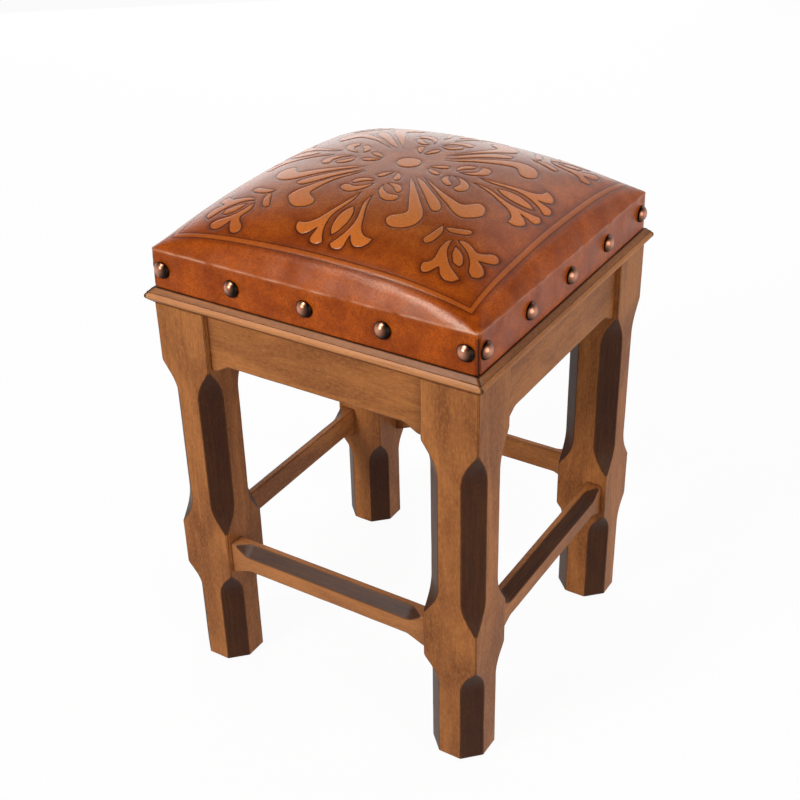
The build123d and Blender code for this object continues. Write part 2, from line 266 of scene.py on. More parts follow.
def wood_piece(name, places, grain_places, stain, wear):
    """Makes a stained wood piece from its stations, with the slight waves of a hand-sanded face."""
    points = places.reshape(-1, 3)
    waves = [noise.noise_vector(Vector(point) / sanding_wave_length) for point in points]
    points = np.clip(points + np.array(waves) * sanding_wave, *np.array(cad_box))
    faces = ring_faces(*places.shape[:2])
    piece = finish_piece(name, points, faces, stained_hardwood, [name])
    set_attribute(piece.data, "grain", grain_places.reshape(-1, 3))
    set_attribute(piece.data, "stain", stain.ravel())
    set_attribute(piece.data, "wear", wear.ravel())
    piece.modifiers.new("flat_faces", "WEIGHTED_NORMAL")
    return piece


levels = np.concatenate([[0.0, foot_bevel / 2], np.linspace(foot_bevel, leg_height, leg_station_count)])
foot_inset = np.clip(foot_bevel - levels, 0, foot_bevel)

for count, (leg_name, (side_x, side_y)) in enumerate(leg_corners.items()):
    half = leg_size / 2 - foot_inset
    corners = []
    cuts = []
    for away_x, away_y in leg_corners.values():
        foremost = leg_name == "front_right" and (away_x, away_y) == (side_x, side_y)
        low_stop = long_low_stop if foremost else neck_low_stop
        inside = np.minimum(levels - low_stop, neck_high_stop - levels)
        neck = stopped_depth(inside, leg_chamfer_depth, neck_ramp_angle, neck_blend_radius)
        foot = stopped_depth(foot_stop - levels, leg_chamfer_depth, foot_ramp_angle, foot_blend_radius)
        corner_x = side_x * leg_line + away_x * half
        corner_y = side_y * leg_line + away_y * half
        corners.append(np.stack([corner_x, corner_y], axis=1))
        cuts.append(np.maximum(neck, foot) * math.sqrt(2))
    outline, stained, wear_and_highlight = eased_sections(np.stack(corners, axis=1), np.stack(cuts, axis=1), wood_ease)
    heights = np.repeat(levels[:, None, None], outline.shape[1], axis=1)
    places = np.concatenate([outline, heights], axis=2)
    wood_piece(f"leg_{leg_name}", places, places + grain_shift * count, stained, wear_and_highlight)

# Aprons. Four boards tenoned between the tops of the legs, which carry the seat. Their lower edge is sawn to
# sweep down to a short ear at each leg, and the edges are lightly sanded.
sides = {"front": (0, -1), "right": (1, 0), "back": (0, 1), "left": (-1, 0)}
board_recess = 6.0 * mm
board_thickness = 20.0 * mm
board_outer = leg_high.x - board_recess
board_half = leg_low.x
apron_height = 62.0 * mm
apron_ear = {"drop": 10.0 * mm, "flat": 6.0 * mm, "run": 17.0 * mm, "radius": 13.0 * mm}
shoulder_ease = 0.5 * mm
joint_shade = 4.0 * mm  # how far stain that gathered in a joint spreads
ear_station_step = 1.2 * mm
ear_reach = 42.0 * mm
board_station_step = 9.0 * mm
apron_number = 5  # the boards are numbered on from the legs, and each has its own grain


def ear_level(inside, drop, flat, run, radius):
    """How far a board's lower edge lies below its straight part, at a distance inside its shoulder."""
    angle = math.atan2(drop, run)
    tangent = radius * math.tan(angle / 2)
    bend = radius * math.sin(angle)
    lower = np.clip(inside - flat + tangent, 0, bend)
    upper = np.clip(flat + run + tangent - inside, 0, bend)
    line = (inside - flat) * drop / run - drop
    level = np.where(inside < flat - tangent + bend, radius - np.sqrt(radius ** 2 - lower ** 2) - drop, line)
    rounded = np.sqrt(radius ** 2 - upper ** 2) - radius
    return np.where(inside > flat + run + tangent - bend, rounded, level)


def turned_to_side(outline, reach, side):
    """Turns the stations of a front piece, points of (out, up) at a reach along it, to one of the sides."""
    out_x, out_y = side
    out, up = outline[:, :, 0], outline[:, :, 1]
    return np.stack([out * out_x + reach * out_y, out * out_y - reach * out_x, up], axis=2)


def eared_board(name, side, top, height, ear, chamfer_depths, number):
    """Makes a board between two legs from stations along it. Its ends are eased where they meet the legs."""
    ends = np.arange(0, ear_reach, ear_station_step)
    middle = np.arange(ear_reach, 2 * board_half - ear_reach, board_station_step)
    inside = np.concatenate([[0.0, shoulder_ease], ends[1:], middle, 2 * board_half - ends[:0:-1]])
    inside = np.concatenate([inside, [2 * board_half - shoulder_ease, 2 * board_half]])
    along = inside - board_half
    nearest = np.minimum(inside, 2 * board_half - inside)
    shrink = np.clip(shoulder_ease - nearest, 0, shoulder_ease)
    low = top - height + ear_level(nearest, **ear) + shrink
    outer = board_outer - shrink
    inner = board_outer - board_thickness + shrink
    high = top - shrink
    corners = np.stack([
        np.stack([inner, low], axis=1),
        np.stack([outer, low], axis=1),
        np.stack([outer, high], axis=1),
        np.stack([inner, high], axis=1),
    ], axis=1)
    cuts = np.zeros(corners.shape[:2])
    cuts[:, 2] = chamfer_depths(nearest) * math.sqrt(2)
    outline, stained, wear_and_highlight = eased_sections(corners, cuts, wood_ease)
    reach = np.repeat(along[:, None], outline.shape[1], axis=1)
    wear_and_highlight = np.maximum(wear_and_highlight, np.exp(-nearest / joint_shade)[:, None])
    grain_places = np.concatenate([outline, reach[:, :, None]], axis=2) + grain_shift * number
    return wood_piece(name, turned_to_side(outline, reach, side), grain_places, stained, wear_and_highlight)


def no_chamfer(inside):
    """An apron has no chamfer at any distance inside its shoulder."""
    return 0 * inside


for count, (side_name, side) in enumerate(sides.items()):
    name = f"apron_{side_name}"
    eared_board(name, side, leg_height, apron_height, apron_ear, no_chamfer, apron_number + count)

# Stretchers. Four boards tenoned between the legs at one height, where the feet rest. They have the same
# ears, and a stopped chamfer along the outer top edge, stained dark like those of the legs.
stretcher_top = 190.0 * mm
stretcher_height = 33.0 * mm
stretcher_ear = {"drop": 9.5 * mm, "flat": 3.0 * mm, "run": 22.0 * mm, "radius": 12.0 * mm}
stretcher_chamfer_depth = 8.5 * mm
stretcher_chamfer_stop = 5.0 * mm
stretcher_ramp_angle = math.radians(27)
stretcher_blend_radius = 26.0 * mm
stretcher_number = 9
foot_rub_and_front_light = {"front": 0.4, "right": 0.1, "back": 0.1, "left": 0.0}  # how much lighter each is painted: rubbed by feet, and on the front one also painted light


def stretcher_chamfer(inside):
    """The depth of a stretcher's chamfer at a distance inside its shoulder."""
    past_stop = inside - stretcher_chamfer_stop
    return stopped_depth(past_stop, stretcher_chamfer_depth, stretcher_ramp_angle, stretcher_blend_radius)


for count, (side_name, side) in enumerate(sides.items()):
    name = f"stretcher_{side_name}"
    sizes = (stretcher_top, stretcher_height, stretcher_ear)
    board = eared_board(name, side, *sizes, stretcher_chamfer, stretcher_number + count)
    set_attribute(board.data, "rub_and_painted_light", np.full(len(board.data.vertices), foot_rub_and_front_light[side_name]))

# Cleats, battens and deck. Unfinished softwood strips glued inside the aprons, and the softwood box with its
# plywood floor that the leather is nailed to. They are hidden once the stool is together.
softwood_light = linear("#d3b182")
softwood_dark = linear("#a97f4e")
veneer_light = linear("#d8bb8d")
veneer_dark = linear("#b98f5e")
ring_spacing = 3.5 * mm
veneer_figure = 9.0 * mm
figure_stretch = 30
softwood_fibre = 0.6 * mm
fibre_coarser = 3  # the fibres are drawn three times coarser than real ones, or none would show
along_x, along_y = (1 / figure_stretch, 1, 1), (1, 1 / figure_stretch, 1)

# Sawn softwood and rotary-cut plywood, both bare: growth rings run along each strip as straight buff and
# brown lines, the plywood has a broader figure, and the saw leaves both dull.
raw_woods = {}
for name, light, dark, spacing, stretch in (
    ("sawn_softwood_along_x", softwood_light, softwood_dark, ring_spacing, along_x),
    ("sawn_softwood_along_y", softwood_light, softwood_dark, ring_spacing, along_y),
    ("rotary_cut_plywood", veneer_light, veneer_dark, veneer_figure, along_x),
):
    raw_woods[name], tree = new_material(name)
    place = add_node(tree, "TexCoord", {})
    figure_place = add_node(tree, "VectorMath", {
        "operation": "MULTIPLY", 0: place.outputs["Object"], 1: Vector(stretch) / spacing,
    })
    figure = add_node(tree, "TexNoise", {
        "Scale": 1.0, "Detail": 4.0, "Distortion": 0.6, "Vector": figure_place,
    })
    figure_share = add_node(tree, "MapRange", {"From Min": 0.38, "From Max": 0.66, "Value": figure})
    figure_colour = add_node(tree, "Mix", {"data_type": "RGBA", 0: figure_share, 6: light, 7: dark})
    fibres = add_node(tree, "TexNoise", {
        "Scale": 1 / softwood_fibre / fibre_coarser, "Detail": 4.0, "Vector": place.outputs["Object"],
    })
    saw_bump = add_node(tree, "Bump", {"Strength": 0.4, "Distance": 0.3 * mm, "Height": fibres})
    saw_marks = add_node(tree, "MapRange", {"To Min": 0.7, "To Max": 0.9, "Value": fibres})
    surface = add_node(tree, "BsdfPrincipled", {
        "IOR": 1.45, "Base Color": figure_colour.outputs[2], "Roughness": saw_marks,
        "Normal": saw_bump,
    })
    add_node(tree, "OutputMaterial", {"Surface": surface})


def dress(name, material):
    """Gives one of the CAD model's own meshes a material."""
    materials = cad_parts[name].data.materials
    materials.clear()
    materials.append(material)


raw_pieces = {"seat_deck": "rotary_cut_plywood"}
for side_name, side in sides.items():
    for kind in ("cleat", "batten"):
        raw_pieces[f"{kind}_{side_name}"] = "sawn_softwood_along_y" if side[0] else "sawn_softwood_along_x"
for name, wood_name in raw_pieces.items():
    dress(name, raw_woods[wood_name])

# Seat screws. Four countersunk zinc-plated steel screws, driven up through the cleats into the deck. Only
# their heads can be seen, from under the stool.
zinc_colour = linear("#b9b6a8")
zinc_spangle = 1.5 * mm

zinc_plated_steel, tree = new_material("zinc_plated_steel")
place = add_node(tree, "TexCoord", {})
spangle = add_node(tree, "TexNoise", {
    "Scale": 1 / zinc_spangle, "Detail": 3.0, "Vector": place.outputs["Object"],
})
dull = add_node(tree, "MapRange", {"To Min": 0.25, "To Max": 0.5, "Value": spangle})
surface = add_node(tree, "BsdfPrincipled", {"Base Color": zinc_colour, "Metallic": 1.0, "Roughness": dull})
add_node(tree, "OutputMaterial", {"Surface": surface})
dress("seat_screws", zinc_plated_steel)

# Top moulding. Four rails of the same stained wood, mitred at the corners and glued down on the legs and
# aprons. Each slopes down from the leather to a fine cut line, then swells into a round nose.
moulding_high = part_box("moulding_front")[1]
cover_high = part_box("leather_cover")[1]
moulding_half = moulding_high.x
seat_base = moulding_high.z
moulding_inner = 152.5 * mm
cover_half = cover_high.x
nose_radius = 4.6 * mm
nose_level = 9.0 * mm
nose_turns = [math.radians(angle) for angle in range(-45, 69, 8)]
slope_drop = 4.8 * mm
slope_in = 2.1 * mm
quirk_depth = 0.55 * mm  # the fine cut line between slope and nose
quirk_width = 0.7 * mm
mitre_gap = 0.12 * mm
split_depth = 2.2 * mm  # an old glue line that has opened beside the foremost mitre
split_middle_share, split_reach_share = -0.93, 0.05
rail_station_count = 90
slope_wear = 0.22  # how much stain stayed on the slope under the leather
# how stain-dark the darkened parts of a rail are: the cut line, the slope, and the painted shadow at the
# leather's hem
groove_stain_and_shadow = 0.8
rail_number = 13
rail_rub_and_highlight = {"front": 1.0, "right": 0.45, "back": 0.5, "left": 0.7}  # how much lighter each rail is painted: rubbed by sitters, and a painted highlight set side by side by how the light falls
slope_rub_and_highlight_share = 0.3  # the slope gets less of this rub and painted highlight than the nose

slope_edge = (moulding_half - slope_in, seat_base - slope_drop)
rail_profile = [(moulding_inner, leg_height), (leg_high.x, leg_height)]
rail_profile += [
    (
        moulding_half - nose_radius + nose_radius * math.cos(turn),
        leg_height + nose_level + nose_radius * math.sin(turn),
    )
    for turn in nose_turns
]
quirk_at = len(rail_profile)
under_cover_at = quirk_at + 4
rubbed_and_highlit_from = 3  # the first point of the nose that is painted lighter, as rub and painted highlight
rail_profile += [
    (slope_edge[0] - quirk_width / 4, slope_edge[1] - quirk_depth),
    (slope_edge[0] - quirk_width, slope_edge[1] + quirk_depth / 4),
    (slope_edge[0] - 2.5 * quirk_width, slope_edge[1] + quirk_depth),
    (cover_half + 2 * quirk_width, seat_base - 1.5 * quirk_depth),
    (cover_half, seat_base - quirk_depth / 2),
    (cover_half - 2 * quirk_width, seat_base),
    (moulding_inner, seat_base),
]
station_shares = np.linspace(-1, 1, rail_station_count)

for count, (side_name, side) in enumerate(sides.items()):
    profile = np.repeat(np.array(rail_profile)[None], rail_station_count, axis=0)
    if side_name == "front":
        opening = np.clip(1 - ((station_shares - split_middle_share) / split_reach_share) ** 2, 0, 1)
        profile[:, quirk_at, 0] -= split_depth * np.sqrt(opening) / 2
        profile[:, quirk_at, 1] -= split_depth * np.sqrt(opening)
    reach = station_shares[:, None] * (profile[:, :, 0] - mitre_gap)
    places = turned_to_side(profile, reach, side)
    grain_places = np.concatenate([profile, reach[:, :, None]], axis=2) + grain_shift * (rail_number + count)
    groove_dark_and_shadow = np.zeros(profile.shape[:2])
    groove_dark_and_shadow[:, quirk_at] = 1.0
    groove_dark_and_shadow[:, quirk_at + 1:under_cover_at] = slope_wear
    # Painted shadow: from where the leather's hem meets the rail, and under it, the rail is darkened fully.
    groove_dark_and_shadow[:, under_cover_at:] = 1.0
    rail = wood_piece(f"moulding_{side_name}", places, grain_places, groove_stain_and_shadow * groove_dark_and_shadow, groove_dark_and_shadow)
    # The nose, and less so the slope, are painted lighter: rubbed wear and a painted highlight.
    nose_rub_and_highlight = np.zeros(profile.shape[:2])
    nose_rub_and_highlight[:, rubbed_and_highlit_from:quirk_at] = rail_rub_and_highlight[side_name]
    nose_rub_and_highlight[:, quirk_at + 1:under_cover_at] = slope_rub_and_highlight_share * rail_rub_and_highlight[side_name]
    set_attribute(rail.data, "rub_and_painted_light", nose_rub_and_highlight.ravel())

# Foam pad. One block of firm polyurethane foam, cut to the crown of the seat and glued to the deck. The
# leather hides all of it.
foam_low, foam_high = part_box("foam_pad")
foam_colour = linear("#e6dcb8")
foam_shadow = linear("#c9bb8e")
foam_cell = 1.2 * mm
foam_count = 48
foam_arc_count = 8
foam_squareness = 0.96  # its rings are round in the middle and square at the foot

open_cell_foam, tree = new_material("polyurethane_foam_open_cell")
place = add_node(tree, "TexCoord", {})
cells = add_node(tree, "TexVoronoi", {"Scale": 1 / foam_cell, "Vector": place.outputs["Object"]})
cell_colour = add_node(tree, "Mix", {"data_type": "RGBA", 0: cells, 6: foam_shadow, 7: foam_colour})
cell_bump = add_node(tree, "Bump", {"Strength": 0.6, "Distance": 0.5 * mm, "Height": cells})
surface = add_node(tree, "BsdfPrincipled", {
    "Roughness": 0.95, "IOR": 1.45, "Base Color": cell_colour.outputs[2], "Normal": cell_bump,
})
add_node(tree, "OutputMaterial", {"Surface": surface})

shoulder_level = 567.5 * mm
crown_height = 69.5 * mm
crown_power = 2.47
crown_fullness = 0.617
crown_top = cover_high.z - shoulder_level
crown_softness = 1.5 * mm


def crown_level(x, y, half):
    """The height of the crowned seat at a place in plan: round in the middle, square at its foot."""
    fall_x = 1 - np.clip(np.abs(x) / half, 0, 1) ** crown_power
    fall_y = 1 - np.clip(np.abs(y) / half, 0, 1) ** crown_power
    rise = crown_height * (fall_x * fall_y) ** crown_fullness
    limited = -crown_softness * np.log(np.exp(-rise / crown_softness) + math.exp(-crown_top / crown_softness))
    return shoulder_level + np.maximum(limited, 0)


def rounded_square(half, radius, straight_count, arc_count):
    """Points round a square with rounded corners, counter-clockwise, the same number at every size."""
    points = []
    for quarter in range(4):
        turn = Matrix.Rotation(quarter * math.pi / 2, 2)
        for k in range(straight_count):
            points.append(turn @ Vector((half, (half - radius) * (2 * k / straight_count - 1))))
        for k in range(arc_count):
            angle = math.pi / 2 * k / arc_count
            centre = half - radius
            place = Vector((centre + radius * math.cos(angle), centre + radius * math.sin(angle)))
            points.append(turn @ place)
    return np.array(points)


foam_half = foam_high.x
foam_drop = cover_high.z - foam_high.z
foam_shares = np.concatenate([np.linspace(0.02, 0.92, foam_count), [0.96, 0.985, 1.0]])
foam_rings = []
for share in foam_shares:
    foam_radius = foam_half * share * (1 - foam_squareness * share ** 3)
    ring = rounded_square(foam_half * share, foam_radius, foam_count, foam_arc_count)
    height = crown_level(ring[:, 0], ring[:, 1], foam_half) - foam_drop
    foam_rings.append(np.column_stack([ring, height]))
foam_rings = [np.column_stack([foam_rings[-1][:, :2], np.full(len(ring), foam_low.z)])] + foam_rings[::-1]
foam_places = np.array(foam_rings)
foam_faces = ring_faces(*foam_places.shape[:2])
foam_points = foam_places.reshape(-1, 3)
foam_pad = finish_piece("foam_pad", foam_points, foam_faces, open_cell_foam, ["foam_pad"])

# Leather cover. One thick cowhide, wetted and tooled by hand with a swivel knife and bevelling stamps, dyed,
# glossed, then stretched wet over the foam and nailed to the battens. Its corners are folded and tucked.
cover_corner_radius = 6.0 * mm
leather_thickness = 2.5 * mm
line_step = 1.35 * mm
line_clearance = 0.1 * mm  # points nearer to another line than this are left out
relief_reach = (-2.6 * mm, -0.95 * mm, 0.0, 0.85 * mm, 2.3 * mm)  # rings of points on both sides of each cut
relief_height = (-0.1 * mm, -0.27 * mm, -0.62 * mm, 0.1 * mm, 0.24 * mm)
flat_step = 3.7 * mm
slack_height, slack_size = 0.5 * mm, 55 * mm  # how the hide waves over the foam
slack_fade = 40 * mm
panel_half = 189.5 * mm
panel_corner_radius = 12.0 * mm
edge_counts = (122, 18)  # points along each side of its edge, and round each corner

# The tooled outlines of one quarter, in millimetres: those that belong to a side from that side's middle
# line, and those that belong to a corner from the middle of the seat. A point given twice is a sharp corner.
disc = [(14 * math.cos(turn * math.pi / 8), 14 * math.sin(turn * math.pi / 8)) for turn in range(16)]
drop = [(2, -30.5), (2, -30.5), (6.5, -33), (12, -39.5), (13.8, -46.5), (10.5, -50), (6.5, -46.5), (4, -39)]
upper_leaf = [
    (7.5, -60.5), (7.5, -60.5), (13.5, -57.5), (21, -58), (28, -64), (30.5, -70), (28, -73.8), (24, -72),
    (18.5, -66), (12.5, -62.5),
]
lower_leaf = [
    (5.5, -65), (5.5, -65), (7.5, -77), (13, -86), (19.5, -91.5), (27, -92.5), (33, -89.5), (35.3, -84.5),
    (33, -79.3), (28.5, -79), (22, -80.3), (15, -77), (10, -72),
]
petal = [
    (7.5, -89), (7.5, -89), (6.5, -99), (7.5, -109), (10.5, -119), (13.5, -129), (14.5, -138), (13.5, -147),
    (11, -155.5), (7.5, -162.5), (4, -167.5), (4, -167.5), (9, -171.5), (16, -171.5), (20.5, -168),
    (20.5, -160), (20, -152.5), (20, -152.5), (25, -160), (32, -164.5), (39.5, -162.5), (44.5, -157.5),
    (46, -150.5), (46, -150.5), (37, -149.5), (31, -146), (25.5, -139), (20.5, -127.5), (15.5, -116),
    (11, -103.5),
]
almond = [
    (0, -114), (0, -114), (5, -122), (7.3, -131), (7.3, -140), (4.8, -151), (0, -158.5), (0, -158.5),
    (-4.8, -151), (-7.3, -140), (-7.3, -131), (-5, -122),
]
near_comma = [
    (25, -32), (25, -32), (34, -49), (43, -64), (51, -79), (58, -91.5), (62, -99.5), (61, -104.5), (56, -109),
    (50.5, -113.5), (48.5, -119), (51.5, -125), (58, -128.8), (66, -128.3), (74, -124.5), (80, -117.5),
    (82.3, -108), (80.5, -99), (73.5, -88), (63.5, -76.5), (51, -61.5), (38, -46),
]
far_comma = [
    (37.5, -27), (37.5, -27), (60.5, -46), (80, -60.5), (91, -68), (100.5, -75), (109, -79), (114.5, -79),
    (120, -75), (125.5, -69), (129, -60.5), (127, -51.5), (123.5, -46), (118, -43), (113, -45.5),
    (109.5, -51), (105.5, -56), (101.5, -58), (95, -56.5), (85, -53), (71, -47), (54.5, -37),
]
ray = [
    (31, -31), (31, -31), (46.5, -49), (56, -59), (66, -69.8), (75, -79.5), (83, -86.3), (88.5, -85.5),
    (90, -80.5), (87, -73.5), (76, -62.5), (64, -53.5), (51, -42.5), (39.5, -34.5),
]
near_sprig = [
    (105.5, -101), (105.5, -101), (103.5, -110), (101.3, -120), (98.8, -129.5), (103, -134.5),
    (108.5, -129.5), (111, -119), (110.5, -110),
]
far_sprig = [
    (109.5, -104.5), (109.5, -104.5), (115, -100.5), (122, -97), (128, -93.5), (132.5, -91.5), (135.5, -95.5),
    (132, -101), (125, -105), (117, -107.5),
]
low_petal = [
    (125, -115), (125, -115), (120.5, -121), (119.5, -131), (120.5, -141), (121, -148), (118.5, -153.5),
    (114.3, -157), (115, -163.5), (119.5, -167), (125.5, -164), (131, -153.8), (131, -153.8), (136, -161.5),
    (143, -165.3), (151, -164), (156.5, -157), (156.5, -157), (149, -153), (141, -148), (133.5, -140.5),
    (127.5, -130.5), (125.3, -121),
]
high_petal = [
    (129, -112.5), (129, -112.5), (138, -110), (146, -112.5), (152, -115.5), (158.5, -111.5), (164, -105),
    (170, -103.8), (174, -109), (172.5, -115.5), (166, -121), (159, -124.5), (159, -124.5), (167, -129),
    (171.8, -136), (170, -144), (163.8, -147.8), (163.8, -147.8), (158, -143), (154, -134), (148.5, -126),
    (140.5, -119.5), (134, -116.5),
]
pod = [
    (131.3, -121.3), (131.3, -121.3), (143.8, -128.8), (149.5, -138.8), (149.5, -138.8), (147.5, -143.8),
    (140, -142.5), (140, -142.5), (133.5, -132.5),
]
disc_middle = (3.0, 1.0)  # the hide was laid on a little to one side
side_shifts = [(6.0, 0.0), (0.0, -2.0), (2.0, 1.0), (1.0, -3.0)]
corner_shifts = [(0.0, 0.0), (1.0, -1.0), (2.0, 1.0), (3.0, -3.0)]
border_halves = (185.6, 180.0)
border_waver, border_waver_size = 1.4 * mm, 90 * mm  # the border is cut by hand
border_corner_radius = 1.5 * mm
border_slice, slack_slice = 0.7, 0.3  # where the noise is cut, so that the two don't wave alike
border_relief = 0.4  # the border is cut less deep than the motifs
border_tint = 0.4  # and worn back less
border_halo = 0.55  # and burnished less
flower_tint = 0.7  # the flowers in the corners are worn back a little less too
fan_fade = (34 * mm, 62 * mm)  # the fans run out softly towards the disc
fan_least, fan_least_tint = 0.15, 0.3


def smooth_outline(points, step):
    """Draws a closed smooth curve through points in millimetres and divides it evenly. Returns metres."""
    closed = [np.array(point, float) * mm for point in points]
    count = len(closed)
    dense = []
    for k in range(count):
        before, start, end, after = (closed[(k + shift) % count] for shift in (-1, 0, 1, 2))
        if np.allclose(start, end):
            continue
        leave = (end - start) if np.allclose(before, start) else (end - before) / 2
        arrive = (end - start) if np.allclose(after, end) else (after - start) / 2
        for share in np.linspace(0, 1, 16, endpoint=False):
            dense.append(
                (2 * share ** 3 - 3 * share ** 2 + 1) * start
                + (share ** 3 - 2 * share ** 2 + share) * leave
                + (3 * share ** 2 - 2 * share ** 3) * end
                + (share ** 3 - share ** 2) * arrive
            )
    dense = np.array(dense + dense[:1])
    lengths = np.concatenate([[0], np.cumsum(np.linalg.norm(np.diff(dense, axis=0), axis=1))])
    even = np.linspace(0, lengths[-1], max(8, round(lengths[-1] / step)), endpoint=False)
    return np.column_stack([np.interp(even, lengths, dense[:, axis]) for axis in range(2)])


def straight_outline(half, step):
    """A square border line, drawn by hand, with its corners only just rounded."""
    count = round(2 * half * mm / step)
    line = rounded_square(half * mm, border_corner_radius, count, 3)
    waver = [noise.noise_vector(Vector((*point, border_slice)) / border_waver_size)[:2] for point in line]
    return line + np.array(waver) * border_waver


def mirrored(points):
    """The other half of a motif that is the same on both sides of the middle line."""
    return [(-x, y) for x, y in points]


side_motifs = [drop, mirrored(drop), upper_leaf, mirrored(upper_leaf), lower_leaf, mirrored(lower_leaf)]
side_motifs += [petal, mirrored(petal), almond]
corner_motifs = [near_comma, far_comma, ray, near_sprig, far_sprig, low_petal, high_petal, pod]
outlines = [smooth_outline(disc, line_step) + np.array(disc_middle) * mm]
outlines += [straight_outline(half, line_step) for half in border_halves]
outline_kinds = ["disc", "border", "border"]
for motifs, shifts in ((side_motifs, side_shifts), (corner_motifs, corner_shifts)):
    for motif in motifs:
        kind = "flower" if motif in corner_motifs else "motif"
        if motif in (near_comma, far_comma, ray):
            kind = "fan"
        outline_kinds += [kind] * len(shifts)
        outline = smooth_outline(motif, line_step)
        for quarter, shift in enumerate(shifts):
            turn = np.array(Matrix.Rotation(quarter * math.pi / 2, 2))
            outlines.append(outline @ turn.T + np.array(shift) * mm)


def inside_count(points):
    """How many outlines each point lies inside."""
    total = np.zeros(len(points), int)
    for outline in outlines:
        low, high = outline.min(axis=0), outline.max(axis=0)
        near = np.where(np.all((points > low) & (points < high), axis=1))[0]
        x, y = points[near, 0][:, None], points[near, 1][:, None]
        x1, y1 = outline[:, 0], outline[:, 1]
        x2, y2 = np.roll(x1, -1), np.roll(y1, -1)
        rising = (y1 > y) != (y2 > y)
        crossing = x < (x2 - x1) * (y - y1) / np.where(y2 == y1, 1, y2 - y1) + x1
        total[near] += (rising & crossing).sum(axis=1) % 2
    return total


line_points = np.concatenate(outlines)
line_tree = kdtree.KDTree(len(line_points))
for number, point in enumerate(line_points):
    line_tree.insert((*point, 0), number)
line_tree.balance()


def line_distances(points):
    """How far each point lies from the nearest tooled line."""
    return np.array([line_tree.find((*point, 0))[2] for point in points])


panel_points = []
panel_relief = []
for outline in outlines:
    tangent = np.roll(outline, -1, axis=0) - np.roll(outline, 1, axis=0)
    normal = np.column_stack([-tangent[:, 1], tangent[:, 0]])
    normal /= np.linalg.norm(normal, axis=1)[:, None]
    raised = 2 * (inside_count(outline + normal * relief_reach[3] / 2) % 2) - 1
    for reach in relief_reach:
        ring = outline + normal * (raised * reach)[:, None]
        kept = line_distances(ring) > abs(reach) - line_clearance
        if reach:
            kept &= (inside_count(ring) % 2 == 1) == (reach > 0)
        panel_points.append(ring[kept])
        panel_relief.append(np.full(kept.sum(), reach))

edge_ring = rounded_square(panel_half, panel_corner_radius, *edge_counts)
spread = np.arange(-panel_half + flat_step, panel_half - flat_step / 2, flat_step)
flat_points = np.array([(x + flat_step / 2 * (row % 2), y) for row, y in enumerate(spread) for x in spread])
beyond = np.maximum(np.abs(flat_points) - (panel_half - panel_corner_radius), 0)
flat_points = flat_points[np.linalg.norm(beyond, axis=1) < panel_corner_radius - flat_step / 2]
flat_distances = line_distances(flat_points)
clear = flat_distances > relief_reach[4] + flat_step / 3
flat_points, flat_distances = flat_points[clear], flat_distances[clear]
flat_relief = flat_distances * (2 * (inside_count(flat_points) % 2) - 1)

plan = np.concatenate([edge_ring] + panel_points + [flat_points])
relief = np.concatenate([-line_distances(edge_ring)] + panel_relief + [flat_relief])
# The edge ring bounds the triangles, and every point of the plan becomes one corner.
boundary = [list(range(len(edge_ring)))]
plan_corners = [Vector(point) for point in plan]
triangulated = geometry.delaunay_2d_cdt(plan_corners, [], boundary, 1, 1e-6)
panel_faces, kept_from = triangulated[2], triangulated[3]
origin = [sources[0] for sources in kept_from]
panel_faces = [tuple(origin[corner] for corner in face) for face in panel_faces]


def noise_at(places, size):
    """A smooth random number between -1 and 1 for each place, whose waves are of that size."""
    return np.array([noise.noise(Vector(place) / size) for place in places])


tooling = np.interp(relief, relief_reach, relief_height)
faded = relief_height[0] * np.clip(2 - relief / relief_reach[0], 0, 1)
tooling = np.where(relief < relief_reach[0], faded, tooling)
slack_places = np.column_stack([plan, np.full(len(plan), slack_slice)])
slack = noise_at(slack_places, slack_size) * slack_height
slack *= np.clip((panel_half - np.max(np.abs(plan), axis=1)) / slack_fade, 0, 1)
panel_height = crown_level(plan[:, 0], plan[:, 1], cover_half) + tooling + slack

owners = np.concatenate([np.full(len(outline), kind) for outline, kind in zip(outlines, outline_kinds)])
nearest_kind = owners[[line_tree.find((*point, 0))[1] for point in plan]]
from_middle = np.linalg.norm(plan, axis=1)
fan_share = np.clip((from_middle - fan_fade[0]) / (fan_fade[1] - fan_fade[0]), fan_least, 1)
fan_tint = fan_least_tint + (1 - fan_least_tint) * fan_share
kinds = [nearest_kind == kind for kind in ("border", "fan", "flower")]
cut_depth = np.select(kinds, [border_relief, fan_share, 1.0], 1.0)
panel_tint = np.select(kinds, [border_tint, fan_tint, flower_tint], 1.0)
panel_halo = np.select(kinds, [border_halo, fan_share, 1.0], 1.0)
panel_height -= tooling * (1 - cut_depth)

# The roll down to the crease and the upright band, in rows that share the panel's edge columns.
roll_insets = [12.6, 11.2, 9.9, 8.6, 7.3, 6.1, 5.0, 4.0, 3.1, 2.3, 1.6, 1.0, 0.5, 0.15]
roll_setback = 0.4 * mm
slope_step = 1 * mm  # over which the crown's slope at the panel's edge is taken
crease_half = cover_half - 0.7 * mm
crease_bead, bead_reach = 0.2 * mm, 1.5 * mm
crease_levels = [shoulder_level - 0.5 * mm, shoulder_level - 1.4 * mm]
even_levels = np.linspace(shoulder_level - 3.5 * mm, seat_base + 2.5 * mm, 17)
band_levels = np.concatenate([crease_levels, even_levels])
hem_levels = [(1.2 * mm, 0.25 * mm), (0.3 * mm, 0.9 * mm)]  # the cut edge curls in over the moulding
nail_low, nail_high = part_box("dome_nails")
nail_level = (nail_low.z + nail_high.z) / 2
nail_reaches = [reach * mm for reach in (-189, -94.5, 0, 94.5, 189)]
dimple_depth = 0.9 * mm
dimple_reach = 13.0 * mm
ripple_depth, ripple_size = 0.7 * mm, (28, 28, 70)  # long soft waves in the band, their size in millimetres
ripple_rise = 10 * mm  # the hem lies flat, and the waves come in above it
